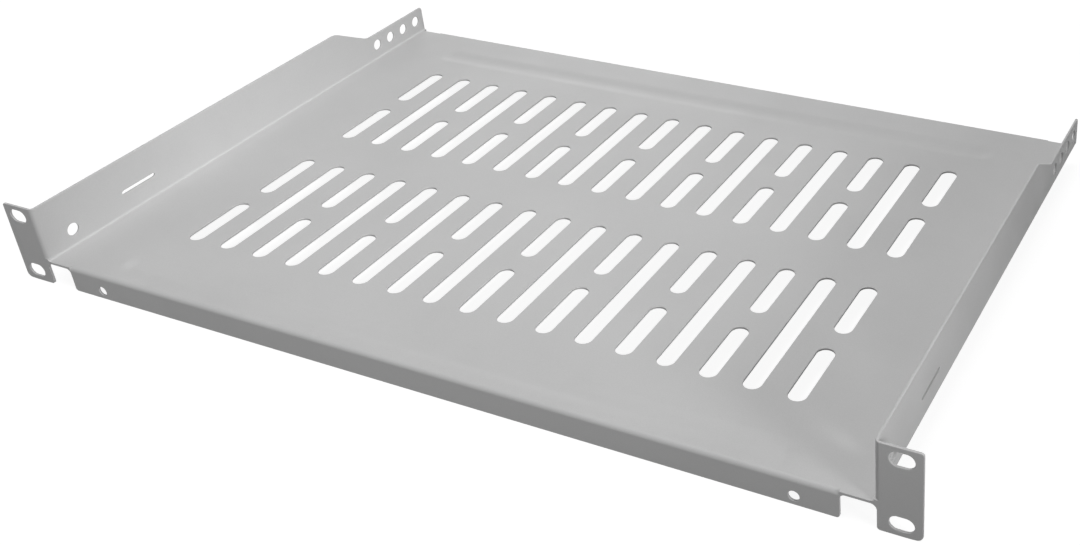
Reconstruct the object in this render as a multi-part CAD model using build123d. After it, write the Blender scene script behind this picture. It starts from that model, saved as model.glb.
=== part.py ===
from build123d import *
import os

# Millimetres. X runs across the rack, Y from the front to the back, Z up.
# The origin is the middle of the four ear slots, on the ears' back face.

# Sheet
sheet = 1.2
fold = 1.2
corner = 1.5
web = 2.8

# Outside sizes
panel_width = 482.6
panel_height = 43.6
depth = 300.0
ear_width = 18.8
ear_foot_round = 3.0
lip_height = 13.6

# Ears
ear_slot_inset = 8.75
ear_slot_spacing = 31.75
ear_slot_length = 10.5
ear_slot_width = 7.0

# Lips
lip_slit = 1.9
lip_hole = 5.0
lip_hole_inset = 19.5
lip_hole_height = 4.3
notch_round = 2.5

# Rear tabs
tab_height = 16.0
tab_length = 54.0
slope_length = 26.0
slope_round = 12.0
tab_holes = 4
tab_hole_spacing = 12.8
tab_hole_inset = 7.5

# Walls
screw_hole = 6.6
screw_hole_height = 8.5
wall_hole_place = 18.0
tie_slit_place = 61.0
tie_slit_height = 11.6
tie_slit_length = 22.0
tie_slit_width = 3.0

# Slots in the deck
columns = 17
slot_width = 8.6
slot_gap = 12.2
group_gap = 27.6
front_margin = 42.5
rear_margin = 53.5
side_margin = 54.0

# Beads pressed into the deck
bead_width = 18.0
bead_depth = 1.0
bead_end_gap = 36.5
front_bead_place = 13.5
rear_bead_place = 28.5

# Levels and edges that follow from the sizes above
outer = fold + sheet
front = -sheet
back = front + depth
top = panel_height / 2
bottom = -top
deck_top = bottom + lip_height
deck_bottom = deck_top - sheet
body = panel_width / 2 - ear_width
inside = body - sheet
ear_edge = body + fold
lip_end = body - lip_height - lip_slit
rear_lip_end = inside - fold
long_slot = (depth - front_margin - rear_margin - group_gap) / 2
short_slot = (long_slot - slot_gap) / 2


def box(x, y, z):
    """A block between pairs of limits."""
    middle = ((x[0] + x[1]) / 2, (y[0] + y[1]) / 2, (z[0] + z[1]) / 2)
    return Pos(*middle) * Box(x[1] - x[0], y[1] - y[0], z[1] - z[0])


def panel(low, high):
    """A flat rectangle between two opposite corners."""
    middle = ((low[0] + high[0]) / 2, (low[1] + high[1]) / 2)
    return Pos(*middle) * Rectangle(high[0] - low[0], high[1] - low[1])


def along_x(outline, start, length):
    """An outline drawn in Y and Z, carried along X."""
    return extrude(Plane.YZ.offset(start) * outline, length)


def along_y(outline, start, length):
    """An outline drawn in X and Z, carried along Y."""
    return extrude(Plane.XZ.offset(-start) * outline, -length)


def round_at(outline, place, radius):
    """Rounds the corner of an outline that is nearest to a place."""
    nearest = outline.vertices().sort_by_distance((place[0], place[1], 0))[0]
    return fillet(nearest, radius)


def both_sides(shape):
    """A shape at the right together with its mirror image at the left."""
    return shape + mirror(shape, about=Plane.YZ)


def channel():
    """The deck folded up into both side walls, before anything is cut."""
    outside = panel((-body, deck_bottom), (body, top))
    outside = fillet(outside.vertices().group_by(Axis.Y)[0], outer)
    hollow = panel((-inside, deck_top), (inside, top))
    hollow = fillet(hollow.vertices().group_by(Axis.Y)[0], fold)
    return along_y(outside - hollow, front, depth)


def side_outline():
    """The wall seen from the side: full height, a slope, then the low rear tab."""
    tab_top = deck_top + tab_height
    slope_foot = back - tab_length
    slope_head = slope_foot - slope_length
    corners = [(front, bottom), (back, bottom), (back, tab_top), (slope_foot, tab_top)]
    corners += [(slope_head, top), (front, top)]
    outline = make_face(Polyline(corners, close=True))
    outline = round_at(outline, (slope_head, top), slope_round)
    outline = round_at(outline, (slope_foot, tab_top), slope_round)
    return round_at(outline, (back, tab_top), corner)


def tray():
    """Deck and walls with the rear tabs, the walls cut back where the ears' folds begin."""
    walls_to_cut = box((-body, body), (front, front + outer), (deck_top + fold, top))
    trimmed = channel() & along_x(side_outline(), -body, 2 * body)
    return trimmed - walls_to_cut


def ear_fold():
    """The upright quarter turn from the right wall out into its ear."""
    ring = Pos(ear_edge, front + outer) * (Circle(outer) - Circle(fold))
    quarter = ring & panel((body - sheet, front), (ear_edge, front + outer))
    height = top - deck_top - fold
    return extrude(Plane.XY.offset(deck_top + fold) * quarter, height)


def ear_outline():
    """The right ear with the rounded web that joins its foot to the deck's front edge."""
    edge = panel_width / 2
    ear = panel((ear_edge, bottom), (edge, top)) + panel((body, bottom), (ear_edge, deck_bottom))
    joint = panel((rear_lip_end, deck_bottom), (ear_edge, deck_top + fold))
    joint -= Pos(rear_lip_end, deck_top + fold) * Circle(fold)
    joint += panel((rear_lip_end - web, deck_bottom), (rear_lip_end, deck_top))
    outline = round_at(ear + joint, (body, deck_bottom), web)
    outline = round_at(outline, (edge, bottom), ear_foot_round)
    outline = round_at(outline, (body, bottom), corner)
    return round_at(outline, (edge, top), corner)


def ear_slots():
    """The two level slots of the right ear."""
    slot = SlotOverall(ear_slot_length, ear_slot_width)
    across = panel_width / 2 - ear_slot_inset
    heights = [-ear_slot_spacing / 2, ear_slot_spacing / 2]
    return Sketch() + [Pos(across, height) * slot for height in heights]


def right_ear():
    """The right ear and its fold."""
    plate = along_y(ear_outline() - ear_slots(), front, sheet)
    return plate + ear_fold()


def lip(end):
    """A lip turned down from the deck's front edge, reaching sideways as far as end."""
    ring = Pos(front + outer, deck_top - outer) * (Circle(outer) - Circle(fold))
    quarter = ring & panel((front, deck_top - outer), (front + outer, deck_top))
    section = quarter + panel((front, bottom), (front + sheet, deck_top - outer))
    outline = panel((-end, bottom), (end, deck_top))
    outline = fillet(outline.vertices().group_by(Axis.Y)[0], corner)
    return along_x(section, -end, 2 * end) & along_y(outline, front, outer)


def notch_corner():
    """The rounded inner corner between the front lip's right end and the deck's front edge."""
    square = panel((lip_end, deck_bottom - notch_round), (lip_end + notch_round, deck_bottom))
    square -= Pos(lip_end + notch_round, deck_bottom - notch_round) * Circle(notch_round)
    return along_y(square, front, sheet)


def lip_holes():
    """A round hole near each end of the front lip."""
    hole = Pos(lip_end - lip_hole_inset, bottom + lip_hole_height) * Circle(lip_hole / 2)
    return along_y(both_sides(hole), front, sheet)


def lips():
    """The front lip with its holes and corners, and the plain rear lip."""
    front_lip = lip(lip_end) - lip_holes() + both_sides(notch_corner())
    rear_lip = mirror(lip(rear_lip_end), about=Plane.XZ.offset(-(front + back) / 2))
    return front_lip + rear_lip


def fold_room():
    """What the two lips' folds take from the flat deck."""
    level = (deck_bottom, deck_top)
    ahead = box((-lip_end, lip_end), (front, front + outer), level)
    behind = box((-rear_lip_end, rear_lip_end), (back - outer, back), level)
    return ahead + behind


def wall_openings():
    """The round holes and the cable-tie slit of the right wall, drawn in Y and Z."""
    level = deck_top + screw_hole_height
    hole = Circle(screw_hole / 2)
    slit = SlotOverall(tie_slit_length, tie_slit_width)
    shapes = [Pos(front + wall_hole_place, level) * hole]
    shapes += [Pos(front + tie_slit_place, deck_top + tie_slit_height) * slit]
    last = back - tab_hole_inset
    shapes += [Pos(last - n * tab_hole_spacing, level) * hole for n in range(tab_holes)]
    return Sketch() + shapes


def deck_slots():
    """Two groups of columns: two short slots in line, then one long slot, by turns."""
    pitch = (2 * body - 2 * side_margin) / (columns - 1)
    short = Rot(0, 0, 90) * SlotOverall(short_slot, slot_width)
    long = Rot(0, 0, 90) * SlotOverall(long_slot, slot_width)
    shift = (short_slot + slot_gap) / 2
    shapes = []
    for start in [front + front_margin, back - rear_margin - long_slot]:
        middle = start + long_slot / 2
        for n in range(columns):
            across = (n - (columns - 1) / 2) * pitch
            if n % 2:
                shapes.append(Pos(across, middle) * long)
            else:
                shapes.append(Pos(across, middle - shift) * short)
                shapes.append(Pos(across, middle + shift) * short)
    return extrude(Plane.XY.offset(deck_bottom) * (Sketch() + shapes), sheet)


def bead_half():
    """Half of a bead's section, from its middle line out to where it meets the flat deck."""
    half = bead_width / 2
    swing = (half**2 + bead_depth**2) / (4 * bead_depth)
    bend = (half / 2, -bead_depth / 2)
    slope = Vector(bend[0], swing - bead_depth / 2).normalized() * sheet
    under_bend = (bend[0] + slope.X, bend[1] - slope.Y)
    upper = [
        RadiusArc((0, -bead_depth), bend, -swing),
        RadiusArc(bend, (half, 0), swing),
    ]
    lower = [
        RadiusArc((half, -sheet), under_bend, -(swing - sheet)),
        RadiusArc(under_bend, (0, -bead_depth - sheet), swing + sheet),
    ]
    sides = [Line((half, 0), (half, -sheet)), Line((0, -bead_depth - sheet), (0, -bead_depth))]
    return make_face(upper + lower + sides)


def bead(place):
    """A shallow sunken bead across the deck, round at both ends, on a line at one depth."""
    half = bead_half()
    reach = body - bead_end_gap - bead_width / 2
    middle = Pos(0, place, deck_top)
    whole = half + mirror(half, about=Plane.YZ)
    straight = extrude(Plane.YZ.offset(-reach) * whole, 2 * reach)
    end = Pos(reach, 0, 0) * revolve(Plane.YZ * half, Axis.Z, -180)
    return middle * (straight + both_sides(end))


def bead_room(place):
    """What a bead takes from the flat deck."""
    length = 2 * (body - bead_end_gap)
    outline = Pos(0, place) * SlotOverall(length, bead_width)
    return extrude(Plane.XY.offset(deck_bottom) * outline, sheet)


def shelf():
    """The whole shelf, one folded sheet."""
    bead_places = [front + front_bead_place, back - rear_bead_place]
    part = tray() - fold_room() - deck_slots()
    part -= along_x(wall_openings(), -body, 2 * body)
    for place in bead_places:
        part -= bead_room(place)
        part += bead(place)
    return part + lips() + both_sides(right_ear())


os.makedirs("parts", exist_ok=True)
export_step(shelf(), "parts/shelf.step")
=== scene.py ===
from math import radians

import bmesh
import bpy
from mathutils import Matrix, Vector


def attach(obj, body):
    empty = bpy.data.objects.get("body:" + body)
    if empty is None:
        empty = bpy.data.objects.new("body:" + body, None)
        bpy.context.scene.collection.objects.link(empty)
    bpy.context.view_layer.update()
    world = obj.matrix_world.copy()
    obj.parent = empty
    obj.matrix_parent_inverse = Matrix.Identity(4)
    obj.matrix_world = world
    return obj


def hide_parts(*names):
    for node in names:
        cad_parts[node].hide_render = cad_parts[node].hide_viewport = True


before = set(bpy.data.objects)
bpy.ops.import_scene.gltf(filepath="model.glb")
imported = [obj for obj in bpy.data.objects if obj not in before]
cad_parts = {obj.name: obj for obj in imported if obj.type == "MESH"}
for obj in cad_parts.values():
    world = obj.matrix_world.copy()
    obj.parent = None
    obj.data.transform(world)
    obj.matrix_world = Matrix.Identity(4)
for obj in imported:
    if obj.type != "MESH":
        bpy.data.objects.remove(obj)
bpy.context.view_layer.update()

# Lengths are in metres, as in the frame. The sheet is 1.2 mm thick.

# Cut edges, rounded over by the coating
edge_round = 0.0003
edge_steps = 2
sharp_edge = radians(35)
crease = radians(50)

# Points and facets that are merged before any edge is rounded
same_point = 0.000002
short_edge = 0.00003
same_plane = radians(0.4)

# Rear lip, cut back from where the solid's lip ends to where the front lip ends
rear_lip_end = 0.2201
lip_end = 0.207
lip_foot = -0.0218
lip_corner = 0.0015
lip_corner_steps = 5
rear_fold_start = 0.2964
rear_lip_zone = 0.29
notch_length = 0.01
notch_top = -0.005
notch_spare = 0.002
touching = 0.0001

# Lower corners, where folds and notches leave no room for a rounded edge
corner_inner, corner_outer = 0.2045, 0.2265
front_corner_end, rear_corner_start = 0.0036, 0.2935
corner_top = -0.0045

# Tie slits: the middle of the right wall's, a box around its rim, and how much it is drawn in
tie_slit_middle = Vector((0.2219, 0.0598, 0.0034))
tie_slit_reach = Vector((0.0009, 0.0115, 0.0017))
tie_slit_narrowing = 0.65

# Powder coat: its grey, its bump, and the fineness of each pattern in waves to the metre
coat_grey = 0.625
coat_bump, coat_bump_height = 0.6, 0.00003
shade_clouds, shade_grains = 14.0, 2600.0
gloss_clouds, gloss_grains = 55.0, 1900.0
orange_peel, fine_grit = 720.0, 2400.0

# Studio
floor_level = -0.0218
floor_gap = 0.0001
floor_size = 12.0
floor_grey = 0.2
floor_glow = 0.92
white = 1.0
room_light = 0.2


def in_scene(name, data):
    """A mesh, lamp or camera as an object of its own."""
    piece = bpy.data.objects.new(name, data)
    bpy.context.collection.objects.link(piece)
    return piece


def as_object(sheet, name):
    """A bmesh as an object of its own."""
    mesh = bpy.data.meshes.new(name)
    sheet.to_mesh(mesh)
    sheet.free()
    return in_scene(name, mesh)


def powder_coat():
    """Light grey satin powder: fine orange peel, and faint clouds and grains in shade and gloss."""
    paint = bpy.data.materials.new("powder_coat")
    paint.use_nodes = True
    nodes, links = paint.node_tree.nodes, paint.node_tree.links
    shader = nodes["Principled BSDF"]
    shader.inputs["Metallic"].default_value = 0.0
    shader.inputs["IOR"].default_value = 1.5
    shader.inputs["Specular IOR Level"].default_value = 0.3

    place = nodes.new("ShaderNodeTexCoord")

    def grain(scale, detail):
        noise = nodes.new("ShaderNodeTexNoise")
        noise.inputs["Scale"].default_value = scale
        noise.inputs["Detail"].default_value = detail
        noise.inputs["Roughness"].default_value = 0.55
        links.new(place.outputs["Object"], noise.inputs["Vector"])
        return noise.outputs["Fac"]

    def spread(value, low, high, start=0.3, end=0.7):
        ramp = nodes.new("ShaderNodeMapRange")
        ramp.inputs["From Min"].default_value = start
        ramp.inputs["From Max"].default_value = end
        ramp.inputs["To Min"].default_value = low
        ramp.inputs["To Max"].default_value = high
        links.new(value, ramp.inputs["Value"])
        return ramp.outputs["Result"]

    def together(first, second, how):
        join = nodes.new("ShaderNodeMath")
        join.operation = how
        links.new(first, join.inputs[0])
        links.new(second, join.inputs[1])
        return join.outputs["Value"]

    clouds = spread(grain(shade_clouds, 3.0), 0.965, 1.03)
    speckle = spread(grain(shade_grains, 2.0), 0.97, 1.03)
    shade = together(clouds, speckle, "MULTIPLY")
    tint = nodes.new("ShaderNodeMix")
    tint.data_type = "RGBA"
    tint.blend_type = "MULTIPLY"
    tint.inputs["Factor"].default_value = 1.0
    tint.inputs["A"].default_value = (coat_grey, coat_grey, coat_grey, 1.0)
    links.new(shade, tint.inputs["B"])
    links.new(tint.outputs["Result"], shader.inputs["Base Color"])

    patches = spread(grain(gloss_clouds, 4.0), 0.40, 0.50)
    sparkle = spread(grain(gloss_grains, 1.0), -0.03, 0.03)
    links.new(together(patches, sparkle, "ADD"), shader.inputs["Roughness"])

    grit = spread(grain(fine_grit, 2.0), 0.0, 0.3, 0.0, 1.0)
    bump = nodes.new("ShaderNodeBump")
    bump.inputs["Strength"].default_value = coat_bump
    bump.inputs["Distance"].default_value = coat_bump_height
    links.new(together(grain(orange_peel, 2.0), grit, "ADD"), bump.inputs["Height"])
    links.new(bump.outputs["Normal"], shader.inputs["Normal"])
    return paint


def rear_lip_notches():
    """The room that is left free at both ends of the rear lip, as at the front lip."""
    room = bmesh.new()
    middle = Vector((
        (lip_end + rear_lip_end) / 2,
        rear_fold_start + notch_length / 2,
        (notch_top + lip_foot) / 2 - notch_spare / 2,
    ))
    size = Vector((rear_lip_end - lip_end, notch_length, notch_top - lip_foot + notch_spare))
    for side in (-1, 1):
        block = bmesh.ops.create_cube(room, size=1.0)["verts"]
        bmesh.ops.scale(room, verts=block, vec=size)
        bmesh.ops.translate(room, verts=block, vec=(side * middle.x, middle.y, middle.z))
    return as_object(room, "rear_lip_notches")


def notched_sheet(node):
    """The folded sheet with both ends of its rear lip cut back, so that no lip shows below the rear tabs."""
    whole = bmesh.new()
    whole.from_mesh(node.data)
    bmesh.ops.remove_doubles(whole, verts=whole.verts, dist=same_point)
    blank, notches = as_object(whole, "blank"), rear_lip_notches()
    cut = blank.modifiers.new("notch", "BOOLEAN")
    cut.operation = "DIFFERENCE"
    cut.solver = "EXACT"
    cut.object = notches
    mesh = bpy.data.meshes.new_from_object(blank.evaluated_get(bpy.context.evaluated_depsgraph_get()))
    for piece in (blank, notches):
        old = piece.data
        bpy.data.objects.remove(piece)
        bpy.data.meshes.remove(old)
    return mesh


def on_tie_slit(point):
    """True on the rim of either wall's tie slit."""
    offsets = Vector((abs(point.x), point.y, point.z)) - tie_slit_middle
    return all(abs(offset) < reach for offset, reach in zip(offsets, tie_slit_reach))


def on_lip_corner(point):
    """True at the lower corners of the cut-back rear lip."""
    at_end = abs(abs(point.x) - lip_end) < touching
    at_foot = abs(point.z - lip_foot) < touching
    return at_end and at_foot and point.y > rear_lip_zone


def in_folded_corner(point):
    """True in the four lower corners of the sheet, at the ends of the lips' folds."""
    at_side = corner_inner < abs(point.x) < corner_outer
    at_end = point.y < front_corner_end or point.y > rear_corner_start
    return at_side and at_end and point.z < corner_top


def narrow_tie_slits(sheet):
    """The walls' tie slits drawn in to the thin line that they are."""
    rim = [vert for vert in sheet.verts if on_tie_slit(vert.co)]
    middle_to_zero = Matrix.Translation((0.0, 0.0, -tie_slit_middle.z))
    bmesh.ops.scale(sheet, verts=rim, vec=(1.0, 1.0, tie_slit_narrowing), space=middle_to_zero)


def round_over(sheet, edges, radius, steps):
    """Edges of the sheet rounded over, each by the full radius."""
    bmesh.ops.bevel(
        sheet, geom=edges, offset=radius, offset_type="OFFSET", segments=steps, profile=0.5,
        affect="EDGES", clamp_overlap=False, material=-1,
    )
    sheet.normal_update()


def folded_sheet(node):
    """The folded sheet with its cut edges rounded over by the coating."""
    mesh = notched_sheet(node)
    mesh.name = "coated_shelf"
    mesh.materials.clear()
    sheet = bmesh.new()
    sheet.from_mesh(mesh)
    bmesh.ops.remove_doubles(sheet, verts=sheet.verts, dist=short_edge)
    bmesh.ops.dissolve_limit(sheet, angle_limit=same_plane, verts=sheet.verts, edges=sheet.edges)
    narrow_tie_slits(sheet)
    sheet.normal_update()
    corners = [
        edge for edge in sheet.edges
        if edge.verts[0].co.x * edge.verts[1].co.x > 0 and all(on_lip_corner(v.co) for v in edge.verts)
    ]
    round_over(sheet, corners, lip_corner, lip_corner_steps)
    cut_edges = [
        edge for edge in sheet.edges
        if edge.calc_face_angle() > sharp_edge and not any(in_folded_corner(v.co) for v in edge.verts)
    ]
    round_over(sheet, cut_edges, edge_round, edge_steps)
    for face in sheet.faces:
        face.smooth = True
    for edge in sheet.edges:
        edge.smooth = edge.calc_face_angle() < crease
    sheet.to_mesh(mesh)
    sheet.free()
    shelf = in_scene("coated_shelf", mesh)
    even = shelf.modifiers.new("even_shading", "WEIGHTED_NORMAL")
    even.mode = "FACE_AREA"
    even.weight = 50
    even.keep_sharp = True
    return shelf


def seen_directly(nodes, links):
    """1 for rays from the camera and for mirror and glass rays, 0 for the light that falls on things."""
    path = nodes.new("ShaderNodeLightPath")
    seen = path.outputs["Is Camera Ray"]
    for ray in ("Is Glossy Ray", "Is Transmission Ray"):
        either = nodes.new("ShaderNodeMath")
        either.operation = "MAXIMUM"
        links.new(seen, either.inputs[0])
        links.new(path.outputs[ray], either.inputs[1])
        seen = either.outputs["Value"]
    return seen


def pale_floor():
    """A matt floor that looks white and keeps the shelf's shadow, and that a view from below sees through."""
    sheet = bmesh.new()
    bmesh.ops.create_grid(sheet, x_segments=1, y_segments=1, size=floor_size / 2)
    bmesh.ops.translate(sheet, verts=sheet.verts, vec=(0.0, 0.0, floor_level - floor_gap))
    floor = as_object(sheet, "floor")
    matt = bpy.data.materials.new("white_floor")
    matt.use_nodes = True
    nodes, links = matt.node_tree.nodes, matt.node_tree.links
    nodes.clear()
    diffuse = nodes.new("ShaderNodeBsdfDiffuse")
    diffuse.inputs["Color"].default_value = (floor_grey, floor_grey, floor_grey, 1.0)
    glow = nodes.new("ShaderNodeEmission")
    level = nodes.new("ShaderNodeMath")
    level.operation = "MULTIPLY"
    level.inputs[1].default_value = floor_glow
    links.new(seen_directly(nodes, links), level.inputs[0])
    links.new(level.outputs["Value"], glow.inputs["Strength"])
    both = nodes.new("ShaderNodeAddShader")
    links.new(diffuse.outputs["BSDF"], both.inputs[0])
    links.new(glow.outputs["Emission"], both.inputs[1])
    side = nodes.new("ShaderNodeNewGeometry")
    clear = nodes.new("ShaderNodeBsdfTransparent")
    sided = nodes.new("ShaderNodeMixShader")
    links.new(side.outputs["Backfacing"], sided.inputs["Fac"])
    links.new(both.outputs["Shader"], sided.inputs[1])
    links.new(clear.outputs["BSDF"], sided.inputs[2])
    out = nodes.new("ShaderNodeOutputMaterial")
    links.new(sided.outputs["Shader"], out.inputs["Surface"])
    floor.data.materials.append(matt)


def white_room():
    """Even soft light from all round, with white behind everything."""
    room = bpy.data.worlds.new("white_room")
    bpy.context.scene.world = room
    room.use_nodes = True
    nodes, links = room.node_tree.nodes, room.node_tree.links
    background = nodes["Background"]
    background.inputs["Color"].default_value = (white, white, white, 1.0)
    level = nodes.new("ShaderNodeMapRange")
    level.inputs["To Min"].default_value = room_light
    level.inputs["To Max"].default_value = white
    links.new(seen_directly(nodes, links), level.inputs["Value"])
    links.new(level.outputs["Result"], background.inputs["Strength"])


def hang(name, light, place, towards):
    """A lamp in its place, turned towards a point."""
    lamp = in_scene(name, light)
    lamp.location = place
    lamp.rotation_euler = (Vector(towards) - Vector(place)).to_track_quat("-Z", "Y").to_euler()


def softbox(name, place, towards, size, power):
    """A square soft light that faces a point."""
    light = bpy.data.lights.new(name, "AREA")
    light.shape = "SQUARE"
    light.size = size
    light.energy = power
    hang(name, light, place, towards)


def soft_spot(name, place, towards, half_angle, radius, power):
    """A round lamp that faces a point, with a wide soft edge to its beam."""
    light = bpy.data.lights.new(name, "SPOT")
    light.spot_size = 2 * half_angle
    light.spot_blend = 1.0
    light.shadow_soft_size = radius
    light.energy = power
    hang(name, light, place, towards)


def camera():
    """Stands in front, to the right and above, and looks at the shelf's middle."""
    lens = bpy.data.cameras.new("camera")
    lens.lens = 45.7253
    lens.sensor_width = 36.0
    lens.sensor_fit = "HORIZONTAL"
    lens.shift_x = -0.24
    lens.shift_y = -0.115
    lens.clip_start = 0.01
    lens.clip_end = 50.0
    stand = in_scene("camera", lens)
    stand.location = (0.366295, -0.362209, 0.362943)
    stand.rotation_euler = (radians(60.8309), radians(1.8462), radians(24.2858))
    bpy.context.scene.camera = stand


shelf = folded_sheet(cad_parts["shelf"])
shelf.data.materials.append(powder_coat())
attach(shelf, "root")
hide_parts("shelf")

pale_floor()
white_room()
softbox("top_light", place=(0.04, -0.02, 1.1), towards=(0.0, 0.15, 0.0), size=0.6, power=5.8)
# Its beam's edge leaves the shelf's rear right corner in half shade.
soft_spot(
    "right_light", place=(0.976, -0.321, 0.345), towards=(-0.5, 0.248, 0.0),
    half_angle=0.22, radius=0.2, power=45.0,
)
softbox("back_light", place=(-0.6, 1.2, 0.35), towards=(0.0, 0.15, 0.0), size=0.5, power=1.2)
camera()
bpy.context.scene.view_settings.view_transform = "Standard"
